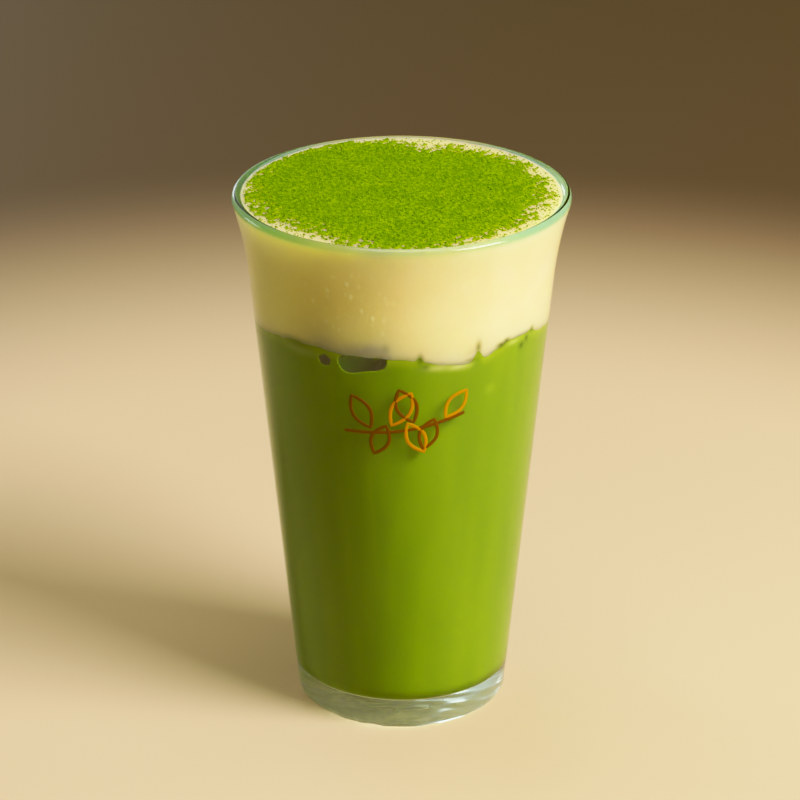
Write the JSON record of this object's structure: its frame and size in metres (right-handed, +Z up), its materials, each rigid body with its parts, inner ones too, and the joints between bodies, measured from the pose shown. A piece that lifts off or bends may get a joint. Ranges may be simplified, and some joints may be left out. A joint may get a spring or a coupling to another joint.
{
  "type": "matcha einspanner in a glass tumbler",
  "caption": "Flared clear glass tumbler filled with iced matcha latte under a thick cap of cream dusted with matcha powder.",
  "frame": {"origin": "centre of the circle that the tumbler stands on", "axes": "+Z up along the tumbler's axis, +X to the right and -Y towards the viewer of the front"},
  "size_m": [0.086, 0.086, 0.1404],
  "materials": {
    "glass": "clear pressed glass, faintly green at the lip and in the base",
    "matcha_latte": "opaque yellow-green drink, seen through the glass",
    "cream": "soft whipped cream, warm white",
    "matcha_powder": "dull fine green powder",
    "print": "fired enamel print on the front of the glass, brown and ochre",
    "ice": "clear melting ice at the line between cream and latte"
  },
  "bodies": {
    "root": {"glass": "glass", "matcha_latte": "matcha_latte", "cream": "cream", "matcha_dusting": "matcha_powder"}
  },
  "joints": []
}
